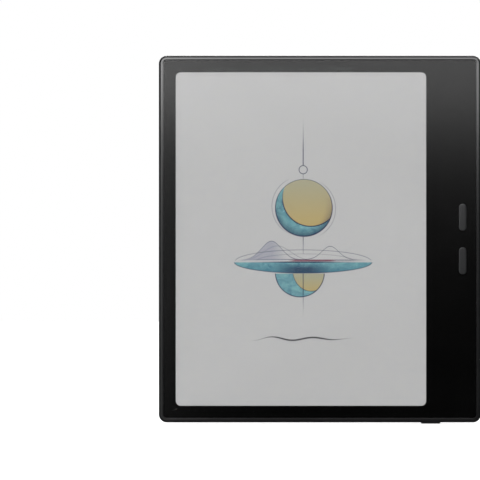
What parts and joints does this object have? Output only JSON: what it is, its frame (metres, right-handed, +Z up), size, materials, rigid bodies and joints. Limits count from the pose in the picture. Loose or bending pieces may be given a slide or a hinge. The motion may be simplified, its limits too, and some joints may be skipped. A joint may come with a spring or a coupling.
{
  "type": "e-reader",
  "caption": "Slim upright e-reader: flush glass front with a wide grip strip and raised page keys beside the screen, power key in the lower edge, grained inlaid panels on the back.",
  "frame": {"origin": "under the middle of the body, level with the tip of the power key in the lower edge, which is the lowest point", "axes": "+Z up the height of the reader, +X towards the grip strip, -Y out of the screen"},
  "size_m": [0.137, 0.0066, 0.1566],
  "materials": {
    "cover_glass": "gloss",
    "border_print": "gloss",
    "frame_plastic": "satin",
    "rear_cover_plastic": "satin",
    "grained_panel": "matte",
    "key_plastic": "satin",
    "inner_black_plastic": "matte",
    "clear_film": "gloss",
    "adhesive": "matte",
    "epaper": "matte",
    "backplane_glass": "gloss",
    "foam": "matte",
    "flex_film": "gloss",
    "lamp": "gloss",
    "chassis_metal": "satin",
    "screw_steel": "satin",
    "sheet_steel": "satin",
    "circuit_board": "satin",
    "chip_black": "matte",
    "plug_ivory": "satin",
    "pouch_foil": "satin",
    "tape_white": "matte",
    "seal_rubber": "matte",
    "magnet_nickel": "gloss",
    "mesh_black": "matte"
  },
  "bodies": {
    "reader": {"cover_glass": "cover_glass", "border_print": "border_print", "glass_adhesive": "adhesive", "optical_adhesive": "clear_film", "touch_sensor": "clear_film", "light_guide": "clear_film", "epaper_film": "epaper", "epaper_backplane": "backplane_glass", "display_foam": "foam", "driver_chips": "chip_black", "light_flex": "flex_film", "light_leds": "lamp", "display_flex": "flex_film", "touch_flex": "flex_film", "middle_frame": "frame_plastic", "chassis_plate": "chassis_metal", "chassis_screws": "screw_steel", "grip_carrier": "inner_black_plastic", "rear_cover": "rear_cover_plastic", "rear_main_panel": "grained_panel", "rear_grip_panel": "grained_panel", "page_up_switch": "sheet_steel", "page_down_switch": "sheet_steel", "power_switch": "sheet_steel", "power_flex": "flex_film", "main_board": "circuit_board", "board_screws": "screw_steel", "processor": "chip_black", "memory_chip": "chip_black", "storage_chip": "chip_black", "power_chip": "chip_black", "radio_chip": "sheet_steel", "hall_sensor": "chip_black", "motion_sensor": "chip_black", "microphone": "sheet_steel", "shield_can": "sheet_steel", "board_plugs": "plug_ivory", "usb_shell": "sheet_steel", "usb_tongue": "inner_black_plastic", "card_socket": "sheet_steel", "upper_speaker": "inner_black_plastic", "lower_speaker": "inner_black_plastic", "upper_speaker_mesh": "mesh_black", "lower_speaker_mesh": "mesh_black", "battery_cell": "pouch_foil", "battery_tape": "tape_white", "battery_board": "circuit_board", "battery_lead": "flex_film", "case_magnets": "magnet_nickel", "aerial_flex": "flex_film"},
    "page_up_key": {"page_up_key": "key_plastic"},
    "page_up_plunger": {"page_up_plunger": "plug_ivory"},
    "page_down_key": {"page_down_key": "key_plastic"},
    "page_down_plunger": {"page_down_plunger": "plug_ivory"},
    "power_key": {"power_key": "key_plastic"},
    "power_plunger": {"power_plunger": "plug_ivory"},
    "card_tray": {"card_tray": "key_plastic", "memory_card": "chip_black", "tray_seal": "seal_rubber"}
  },
  "joints": [
    {"name": "page_up_press", "type": "slide", "parent": "reader", "child": "page_up_key", "axis": [0, 1, 0], "range_m": [0, 0.00035], "stiffness_N_per_m": 4000},
    {"name": "page_up_click", "type": "slide", "parent": "reader", "child": "page_up_plunger", "axis": [0, 1, 0], "range_m": [0, 0.00035]},
    {"name": "page_down_press", "type": "slide", "parent": "reader", "child": "page_down_key", "axis": [0, 1, 0], "range_m": [0, 0.00035], "stiffness_N_per_m": 4000},
    {"name": "page_down_click", "type": "slide", "parent": "reader", "child": "page_down_plunger", "axis": [0, 1, 0], "range_m": [0, 0.00035]},
    {"name": "power_press", "type": "slide", "parent": "reader", "child": "power_key", "axis": [0, 0, 1], "range_m": [0, 0.0003], "stiffness_N_per_m": 4000},
    {"name": "power_click", "type": "slide", "parent": "reader", "child": "power_plunger", "axis": [0, 0, 1], "range_m": [0, 0.0003]},
    {"name": "card_tray_slide", "type": "slide", "parent": "reader", "child": "card_tray", "axis": [1, 0, 0], "range_m": [0, 0.022]}
  ],
  "couplings": [
    {"joint": "page_up_click", "follows": "page_up_press", "ratio": 1},
    {"joint": "page_down_click", "follows": "page_down_press", "ratio": 1},
    {"joint": "power_click", "follows": "power_press", "ratio": 1}
  ]
}
